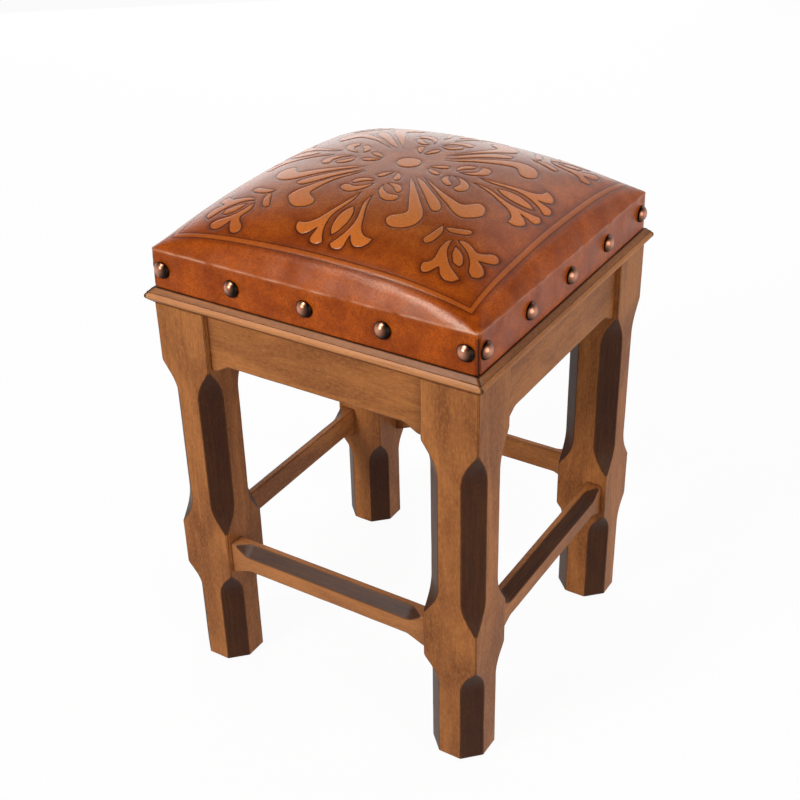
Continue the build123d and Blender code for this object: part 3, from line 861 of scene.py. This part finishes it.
pucker_depth, pucker_size = 0.55 * mm, (3.6, 3.6, 26)  # fine upright folds under the crease
pucker_drop, pucker_reach = 2 * mm, 9 * mm
front_pucker_share = 0.45  # the front is stretched smoother
fold_depth = 1.5 * mm
fold_flap = 0.5 * mm
fold_rise, fold_fade = 6 * mm, 16 * mm  # how far above the crease a fold starts, and how softly
fold_shade_drop = 4 * mm  # the painted shade down the middle of its tuck starts this far below the crease
far_gap = -20.0  # a place that has no tooled or folded line near it
fold_shift = math.radians(6)
fold_width = math.radians(9)
columns = len(edge_ring)

# The roll is a parabola that meets the crown at the panel's edge at the crown's own slope.
roll_width = cover_half - roll_setback - panel_half
inner_ring = rounded_square(panel_half - slope_step, panel_corner_radius, *edge_counts)
edge_height = crown_level(edge_ring[:, 0], edge_ring[:, 1], cover_half)
edge_slope = (crown_level(inner_ring[:, 0], inner_ring[:, 1], cover_half) - edge_height) / slope_step
crease_slope = 2 * (edge_height - shoulder_level) / roll_width - edge_slope
rows = []
for inset in roll_insets:
    share = inset * mm / (cover_half - panel_half)
    half = cover_half - roll_setback - inset * mm
    radius = cover_corner_radius + (panel_corner_radius - cover_corner_radius) * share
    ring = rounded_square(half, radius, *edge_counts)
    eased = (edge_slope - crease_slope) * (inset * mm) ** 2 / (2 * roll_width)
    rows.append(np.column_stack([ring, shoulder_level + crease_slope * inset * mm + eased]))
for level in band_levels:
    share = (band_levels[0] - level) / (band_levels[0] - seat_base)
    bead = crease_bead * math.exp(-((shoulder_level - level) / bead_reach) ** 2)
    half = crease_half + (cover_half - crease_half) * share + bead
    ring = rounded_square(half, cover_corner_radius, *edge_counts)
    rows.append(np.column_stack([ring, np.full(columns, level)]))
for rise, inset in hem_levels:
    ring = rounded_square(cover_half - inset, cover_corner_radius, *edge_counts)
    rows.append(np.column_stack([ring, np.full(columns, seat_base + rise)]))
hem_radius = cover_corner_radius - leather_thickness
bottom = rounded_square(cover_half - leather_thickness, hem_radius, *edge_counts)
rows.append(np.column_stack([bottom, np.full(columns, seat_base)]))
band = np.array(rows)

flat_band = band.reshape(-1, 3)
outward = flat_band[:, :2] / np.max(np.abs(flat_band[:, :2]), axis=1)[:, None]
outward = np.where(np.abs(outward) > 1 - 1e-9, outward, 0)
for reach in nail_reaches:
    for axis in range(2):
        along = flat_band[:, 1 - axis]
        gap = np.hypot(along - reach, flat_band[:, 2] - nail_level)
        pull = dimple_depth * np.exp(-(gap / dimple_reach) ** 2)
        flat_band[:, axis] -= pull * outward[:, axis]
ripple = noise_at(flat_band / ripple_size, mm)
lowness = np.clip((flat_band[:, 2] - seat_base) / ripple_rise, 0, 1)
flat_band[:, :2] += outward * (ripple * lowness * ripple_depth)[:, None]
on_front = flat_band[:, 1] < -np.abs(flat_band[:, 0])
pucker = noise_at(flat_band / pucker_size, mm)
pucker *= np.where(on_front, front_pucker_share, 1)
near_crease = np.exp(-((flat_band[:, 2] - shoulder_level + pucker_drop) / pucker_reach) ** 2)
flat_band[:, :2] -= outward * (np.abs(pucker) * near_crease * pucker_depth)[:, None]

# Each corner's fold: a tuck that runs down the band and fades out over the crown, with one flap over it. The
# tuck is painted dark as its shade.
fold_shade_gap = np.full(len(flat_band), far_gap)
for sign_x, sign_y in leg_corners.values():
    centre = np.array([sign_x, sign_y]) * (cover_half - cover_corner_radius)
    from_centre = flat_band[:, :2] - centre
    at_corner = (from_centre[:, 0] * sign_x > 0) & (from_centre[:, 1] * sign_y > 0)
    turn = np.arctan2(from_centre[:, 1] * sign_y, from_centre[:, 0] * sign_x) - math.pi / 4
    turn = turn * sign_x * sign_y - fold_shift
    fade = np.clip((shoulder_level + fold_rise - flat_band[:, 2]) / fold_fade, 0, 1)
    tuck = fold_depth * np.exp(-(turn / fold_width) ** 2) * fade * at_corner
    flap = fold_flap * np.exp(-((turn + 2 * fold_width) / (1.5 * fold_width)) ** 2) * fade * at_corner
    flat_band[:, :2] += (flap - tuck)[:, None] * np.array([sign_x, sign_y]) / math.sqrt(2)
    in_fold = at_corner & (flat_band[:, 2] < shoulder_level - fold_shade_drop)
    to_fold = -np.abs(turn) * cover_corner_radius / mm
    fold_shade_gap = np.where(in_fold, np.maximum(fold_shade_gap, to_fold), fold_shade_gap)

panel_count = len(plan)
leather_points = np.concatenate([np.column_stack([plan, panel_height]), flat_band])
leather_faces = list(panel_faces)
previous = list(range(columns))
for row in range(len(rows)):
    current = [panel_count + row * columns + k for k in range(columns)]
    for k in range(columns):
        following = (k + 1) % columns
        leather_faces.append((previous[k], current[k], current[following], previous[following]))
    previous = current

# Tooled cowhide: red-brown dye worn back to tan on the raised parts, black in the cut lines, under a high
# gloss finish. It shows as warm mottled orange-brown with a fine pebble grain and long soft reflections.
hide_rim = linear("#8f3903")
hide_rim_light = linear("#be570e")
# The middle colours are duller and browner than the rim's: partly the dye, partly a painted reflection of the
# pale surround on the crown.
hide_middle = linear("#8e4114")
hide_middle_light = linear("#ad5d24")
hide_deep = linear("#5a1c02")
hide_speck = linear("#692a06")
hide_motif_rim = linear("#e2772a")
hide_motif_middle = linear("#c97538")
# Painted highlight: the pale line along the crease.
hide_crease_highlight = linear("#e2a884")
# Black in the cut lines, and painted shade in the tucks of the corner folds.
hide_cut_and_fold_shade = linear("#2b130a")
hide_finish = linear("#fff0de")
pebble = 1.1 * mm
speckle = 2 * pebble  # drawn coarser than the real grain, or it would not show
mottle = 34.0 * mm

tooled_cowhide, tree = new_material("tooled_cowhide_glossed")
place = add_node(tree, "TexCoord", {}).outputs["Object"]
line_gap, rim, tint, halo, cut, wear_and_highlight = (
    add_node(tree, "Attribute", {"attribute_name": name}).outputs["Fac"]
    for name in ("line_gap", "rim", "tint", "halo", "cut", "wear_and_highlight")
)
clouds = add_node(tree, "TexNoise", {"Scale": 1 / mottle, "Detail": 5.0, "Roughness": 0.6, "Vector": place})
pebbles = add_node(tree, "TexVoronoi", {"Scale": 1 / pebble, "Vector": place})
wrinkles = add_node(tree, "TexNoise", {
    "Scale": 1 / speckle, "Detail": 6.0, "Roughness": 0.65, "Vector": place,
})
cloud_share, speckle_share, rubbed_tan, gloss, burnish_and_fold_shade_rim, cut_most = (
    add_node(tree, "MapRange", {
        "From Min": low, "From Max": high, "To Min": at_low, "To Max": at_high, "Value": figure,
    })
    for figure, low, high, at_low, at_high in (
        (clouds, 0.35, 0.68, 0.0, 1.0),
        (wrinkles, 0.44, 0.64, 0.0, 0.6),
        (wrinkles, 0.38, 0.62, 1.0, 0.72),
        (wrinkles, 0.0, 1.0, 0.19, 0.32),
        (rim, 0.0, 1.0, 0.2, 0.75),
        (cut, 0.0, 1.0, 0.3, 0.85),
    )
)
# Burnished ground beside the cut lines is darker. On the band the same darkening is painted shade beside the
# corner folds.
burnish_and_fold_shade_most = add_node(tree, "Math", {"operation": "MULTIPLY", 0: burnish_and_fold_shade_rim, 1: halo})
burnish_and_fold_shade = add_node(tree, "MapRange", {
    "From Min": -6.5, "From Max": -0.8, "Value": line_gap, "To Max": burnish_and_fold_shade_most,
})
tan_most = add_node(tree, "Math", {"operation": "MULTIPLY", 0: tint, 1: rubbed_tan})
raised = add_node(tree, "MapRange", {"From Min": 0.2, "From Max": 1.2, "Value": line_gap, "To Max": tan_most})
crease_highlight_most = add_node(tree, "Math", {"operation": "MULTIPLY", 0: wear_and_highlight, 1: 0.75})
gap_size = add_node(tree, "Math", {"operation": "ABSOLUTE", 0: line_gap})
cut_and_fold_shade_share = add_node(tree, "MapRange", {
    "From Min": 0.22, "From Max": 0.8, "To Max": 0.0, "Value": gap_size, "To Min": cut_most,
})
grounds = []
for share, light, dark in (
    (cloud_share, hide_middle_light, hide_middle),
    (cloud_share, hide_rim_light, hide_rim),
    (rim, hide_motif_middle, hide_motif_rim),
):
    mixed = add_node(tree, "Mix", {"data_type": "RGBA", 0: share, 6: light, 7: dark})
    grounds.append(mixed.outputs[2])
hide_colour, rim_colour, tan_colour = grounds
for share, coat in (
    (rim, rim_colour),
    (speckle_share, hide_speck),
    (burnish_and_fold_shade, hide_deep),
    (raised, tan_colour),
    # the painted highlight along the crease
    (crease_highlight_most, hide_crease_highlight),
    (cut_and_fold_shade_share, hide_cut_and_fold_shade),
):
    mixed = add_node(tree, "Mix", {"data_type": "RGBA", 0: share, 6: hide_colour, 7: coat})
    hide_colour = mixed.outputs[2]
grain_height = add_node(tree, "Math", {"operation": "MULTIPLY_ADD", 0: wrinkles, 1: 0.5, 2: pebbles})
grain_bump = add_node(tree, "Bump", {"Strength": 0.42, "Distance": 0.25 * mm, "Height": grain_height})
surface = add_node(tree, "BsdfPrincipled", {
    "IOR": 1.25, "Specular Tint": hide_finish, "Base Color": hide_colour, "Roughness": gloss,
    "Normal": grain_bump,
})
add_node(tree, "OutputMaterial", {"Surface": surface})

name = "leather_cover"
leather_cover = finish_piece(name, leather_points, leather_faces, tooled_cowhide, [name])
crease_highlight_line = 1.0 * mm  # half the width of the paler line painted along the crease as its highlight
crease_highlight_patch = 11 * mm
crease_highlight_by_side = np.where(flat_band[:, 1] < -np.abs(flat_band[:, 0]), 1, 0.45)  # the front edge most, where the light falls
on_crease = np.exp(-((flat_band[:, 2] - shoulder_level) / crease_highlight_line) ** 2)
patches = noise_at(flat_band, crease_highlight_patch)
crease_highlight_share = np.clip(0.7 + 1.2 * patches, 0, 1) * crease_highlight_by_side
rim_start, rim_width = 0.55, 0.35  # shares of the way out where the deeper orange rim of the seat fades in; the duller, browner middle holds a painted reflection
band_ones = np.ones(len(flat_band))
panel_and_band = {
    "line_gap": (relief / mm, fold_shade_gap),
    "wear_and_highlight": (np.zeros(panel_count), on_crease * crease_highlight_share),
    "halo": (panel_halo, band_ones),
    # On the band, the cut and burnish darkening only paint shade into the corner folds.
    "cut": (cut_depth, band_ones),
    "tint": (panel_tint, border_tint * band_ones),
}
for name, shares in panel_and_band.items():
    set_attribute(leather_cover.data, name, np.concatenate(shares))
way_out = np.max(np.abs(leather_points[:, :2]), axis=1) / cover_half
set_attribute(leather_cover.data, "rim", np.clip((way_out - rim_start) / rim_width, 0, 1))

# Dome nails. Stamped steel heads with an antique copper finish, on square tapering shanks driven through the
# leather into the battens. Each head is painted bright high on one side as a painted highlight, darker away
# from it as painted reflection, and dark round the rim with patina.
nail_radius = (nail_high.z - nail_low.z) / 2
nail_rise = nail_high.x - cover_half
nail_rim = 1.0 * mm
nail_length = 11.5 * mm
taper_at = nail_length * 0.6  # where the shank starts to narrow to its point
shank_half = 1.25 * mm
point_half = 0.3 * mm
nail_around = 40
dome_steps = 11
nail_tilt = math.radians(3)
# Bright copper is painted where each head's highlight falls, brown beyond it, and dark on the far side as
# painted reflection and round the rim as patina.
copper_highlight = linear("#c98d72")
copper_brown = linear("#6b4635")
dark_patina_and_reflection = linear("#1d1715")
patina_spot = 0.9 * mm
patina_unevenness = 0.35
highlight_place = Vector((0.26, 0.22))  # where the painted highlight sits, high on one side of every head
highlight_fade = 0.82
shank_start = -0.5 * mm  # the shank starts inside the head

antique_copper, tree = new_material("antique_copper_plated_steel")
place = add_node(tree, "TexCoord", {})
patina_and_highlight = add_node(tree, "Attribute", {"attribute_name": "patina_and_highlight"})
spots = add_node(tree, "TexNoise", {
    "Scale": 1 / patina_spot, "Detail": 4.0, "Vector": place.outputs["Object"],
})
spread_share = add_node(tree, "Math", {
    "operation": "MULTIPLY_ADD", 0: spots, 1: patina_unevenness, 2: patina_and_highlight.outputs["Fac"],
})
brown_share, dark_share, rubbed = (
    add_node(tree, "MapRange", {
        "From Min": low, "From Max": high, "To Min": at_low, "To Max": at_high, "Value": spread_share,
    })
    for low, high, at_low, at_high in ((0.25, 0.75, 0.0, 1.0), (0.72, 1.0, 0.0, 1.0), (0.2, 1.2, 0.2, 0.34))
)
copper_colour = copper_highlight
for share, coat in ((brown_share, copper_brown), (dark_share, dark_patina_and_reflection)):
    mixed = add_node(tree, "Mix", {"data_type": "RGBA", 0: share, 6: copper_colour, 7: coat})
    copper_colour = mixed.outputs[2]
surface = add_node(tree, "BsdfPrincipled", {
    "Metallic": 1.0, "Base Color": copper_colour, "Roughness": rubbed,
})
add_node(tree, "OutputMaterial", {"Surface": surface})

dome_radius = (nail_radius ** 2 + (nail_rise - nail_rim) ** 2) / (2 * (nail_rise - nail_rim))
dome_angle = math.asin(nail_radius / dome_radius)
nail_rings = [(0.15 * mm, nail_rise, 0.0)]  # each ring's radius, rise and share of the way to the rim
for step in range(1, dome_steps + 1):
    angle = dome_angle * step / dome_steps
    rise = nail_rise - dome_radius * (1 - math.cos(angle))
    nail_rings.append((dome_radius * math.sin(angle), rise, step / dome_steps))
nail_rings += [
    (nail_radius + 0.02 * mm, nail_rim / 2, 1.0),
    (nail_radius - 0.2 * mm, 0.0, 1.0),
    (2.2 * mm, 0.6 * mm, 1.0),
]
shank_ends = ((shank_start, shank_half), (taper_at, shank_half), (nail_length, point_half))
square_corners = ((-1, -1), (1, -1), (1, 1), (-1, 1))

nail_points = []
nail_faces = []
nail_patina_and_highlight = []
for out_x, out_y in sides.values():
    for count, reach in enumerate(nail_reaches):
        start = len(nail_points)
        out = Vector((out_x, out_y, 0))
        along = Vector((out_y, -out_x, 0))
        centre = out * (cover_half - dimple_depth / 2) + along * reach + Vector((0, 0, nail_level))
        # Each nail was hammered in by hand, so it leans its own way.
        lean = nail_tilt * math.sin(7.3 * count + 2.1 * out_x + 4.7 * out_y)
        lift = nail_tilt * math.sin(3.1 * count + 5.9 * out_x + 1.3 * out_y)
        seat_turn = Matrix.Rotation(lean, 3, "Z") @ Matrix.Rotation(lift, 3, along)
        across, up = seat_turn @ along, seat_turn @ Vector((0, 0, 1))
        axis = seat_turn @ out
        for radius, rise, share in nail_rings:
            for k in range(nail_around):
                angle = 2 * math.pi * k / nail_around
                ring_point = across * radius * math.cos(angle) + up * radius * math.sin(angle)
                nail_points.append(centre + axis * rise + ring_point)
                flat_place = Vector((radius * math.cos(angle), radius * math.sin(angle)))
                off_highlight = flat_place / nail_radius - highlight_place
                nail_patina_and_highlight.append(min(1.0, highlight_fade * off_highlight.length) if share < 1 else 1.0)
        head_faces = ring_faces(len(nail_rings), nail_around)
        nail_faces += [tuple(start + corner for corner in face) for face in head_faces]
        start = len(nail_points)
        for depth, half in shank_ends:
            middle = centre - axis * depth
            for side_across, side_up in square_corners:
                nail_points.append(middle + across * half * side_across + up * half * side_up)
                nail_patina_and_highlight.append(1.0)
        shank_faces = ring_faces(len(shank_ends), len(square_corners))
        nail_faces += [tuple(start + corner for corner in face) for face in shank_faces]

name = "dome_nails"
dome_nails = finish_piece(name, nail_points, nail_faces, antique_copper, [name])
set_attribute(dome_nails.data, "patina_and_highlight", nail_patina_and_highlight)

# Studio. A white floor that keeps a faint shadow of the stool, a white surround, and five large soft lamps.
# The floor and the surround look white only to rays that see them, and light the stool less than that.
floor_half = 40.0
floor_corners = [(x * floor_half, y * floor_half, 0) for x, y in square_corners]
floor_mesh = bpy.data.meshes.new("floor")
floor_mesh.from_pydata(floor_corners, [], [(0, 1, 2, 3)])
floor = bpy.data.objects.new("floor", floor_mesh)
bpy.context.collection.objects.link(floor)

pure_white = (1, 1, 1, 1)
floor_bounce = (0.36, 0.36, 0.36, 1)  # what the floor sends back to the stool
floor_glow = 0.94


def whether_seen(tree):
    """Adds nodes that tell camera, glossy and transmission rays from those that only light things."""
    path = add_node(tree, "LightPath", {})
    straight = add_node(tree, "Math", {
        "operation": "ADD", 0: path.outputs["Is Camera Ray"], 1: path.outputs["Is Glossy Ray"],
    })
    seen = add_node(tree, "Math", {
        "operation": "ADD", "use_clamp": True, 0: straight, 1: path.outputs["Is Transmission Ray"],
    })
    return seen


white_floor, tree = new_material("white_studio_floor")
seen = whether_seen(tree)
glow = add_node(tree, "Emission", {"Color": pure_white, "Strength": 1.0})
floor_colour = add_node(tree, "Mix", {"data_type": "RGBA", 0: seen, 6: floor_bounce, 7: pure_white})
shadowed = add_node(tree, "BsdfDiffuse", {"Color": floor_colour.outputs[2]})
seen_share = add_node(tree, "Math", {"operation": "MULTIPLY", 0: seen, 1: floor_glow})
mixed = add_node(tree, "MixShader", {0: seen_share, 1: shadowed, 2: glow})
add_node(tree, "OutputMaterial", {"Surface": mixed})
floor_mesh.materials.append(white_floor)

# The camera sees the surround evenly white. In reflections it darkens with height, as a ceiling does.
room_light = 0.3
world = bpy.data.worlds.new("studio")
bpy.context.scene.world = world
world.use_nodes = True
tree = world.node_tree
tree.nodes.clear()
seen = whether_seen(tree)
path = add_node(tree, "LightPath", {})
room = add_node(tree, "Background", {"Color": pure_white, "Strength": room_light})
place = add_node(tree, "TexCoord", {})
height = add_node(tree, "SeparateXYZ", {0: place.outputs["Generated"]})
ceiling = add_node(tree, "MapRange", {
    "From Min": 0.1, "From Max": 0.75, "To Min": 1.0, "To Max": 0.06, "Value": height.outputs["Z"],
})
brightness = add_node(tree, "Math", {
    "operation": "MAXIMUM", 0: path.outputs["Is Camera Ray"], 1: ceiling,
})
white = add_node(tree, "Background", {"Color": pure_white, "Strength": brightness})
shown = add_node(tree, "MixShader", {0: seen, 1: room, 2: white})
add_node(tree, "OutputWorld", {"Surface": shown})

seat_middle = Vector((0, 0, 0.45))
lamps = {
    "softbox_high": ((-0.50, -1.37, 2.40), 0.65, 100),
    "softbox_front_left": ((-0.75, -2.3, 1.65), 0.8, 41),
    "softbox_right": ((2.8, -0.8, 1.0), 1.9, 33),
    "softbox_behind": ((-1.7, 2.25, 1.35), 2.9, 30),
    "softbox_behind_right": ((0.5, 2.35, 2.4), 1.8, 18),
}
gleam_lamp = "softbox_high"  # it only draws the gleam on the roll of the leather
for name, (place, size, power) in lamps.items():
    lamp = bpy.data.lights.new(name, "AREA")
    lamp.shape = "SQUARE"
    lamp.size = size
    lamp.energy = power
    holder = bpy.data.objects.new(name, lamp)
    holder.location = place
    holder.rotation_euler = (Vector(place) - seat_middle).to_track_quat("Z", "Y").to_euler()
    holder.visible_diffuse = name != gleam_lamp
    bpy.context.collection.objects.link(holder)

# The camera, where the photograph's own lines of the stool put it.
camera_place = Vector((0.73040, -1.17778, 1.16241))
camera_azimuth = math.radians(32.351)
camera_elevation = math.radians(30.985)
camera_roll = math.radians(-1.408)
camera_back = Vector((
    math.sin(camera_azimuth) * math.cos(camera_elevation),
    -math.cos(camera_azimuth) * math.cos(camera_elevation),
    math.sin(camera_elevation),
))
level_right = (-camera_back).cross(Vector((0, 0, 1))).normalized()
level_up = level_right.cross(-camera_back)
camera_right = level_right * math.cos(camera_roll) + level_up * math.sin(camera_roll)
camera_up = level_up * math.cos(camera_roll) - level_right * math.sin(camera_roll)
camera_data = bpy.data.cameras.new("camera")
camera_data.sensor_width = 36
camera_data.lens = 59.76
camera = bpy.data.objects.new("camera", camera_data)
camera_turn = Matrix((camera_right, camera_up, camera_back)).transposed().to_4x4()
camera.matrix_world = Matrix.Translation(camera_place) @ camera_turn
bpy.context.collection.objects.link(camera)
bpy.context.scene.camera = camera
bpy.context.scene.view_settings.view_transform = "Standard"
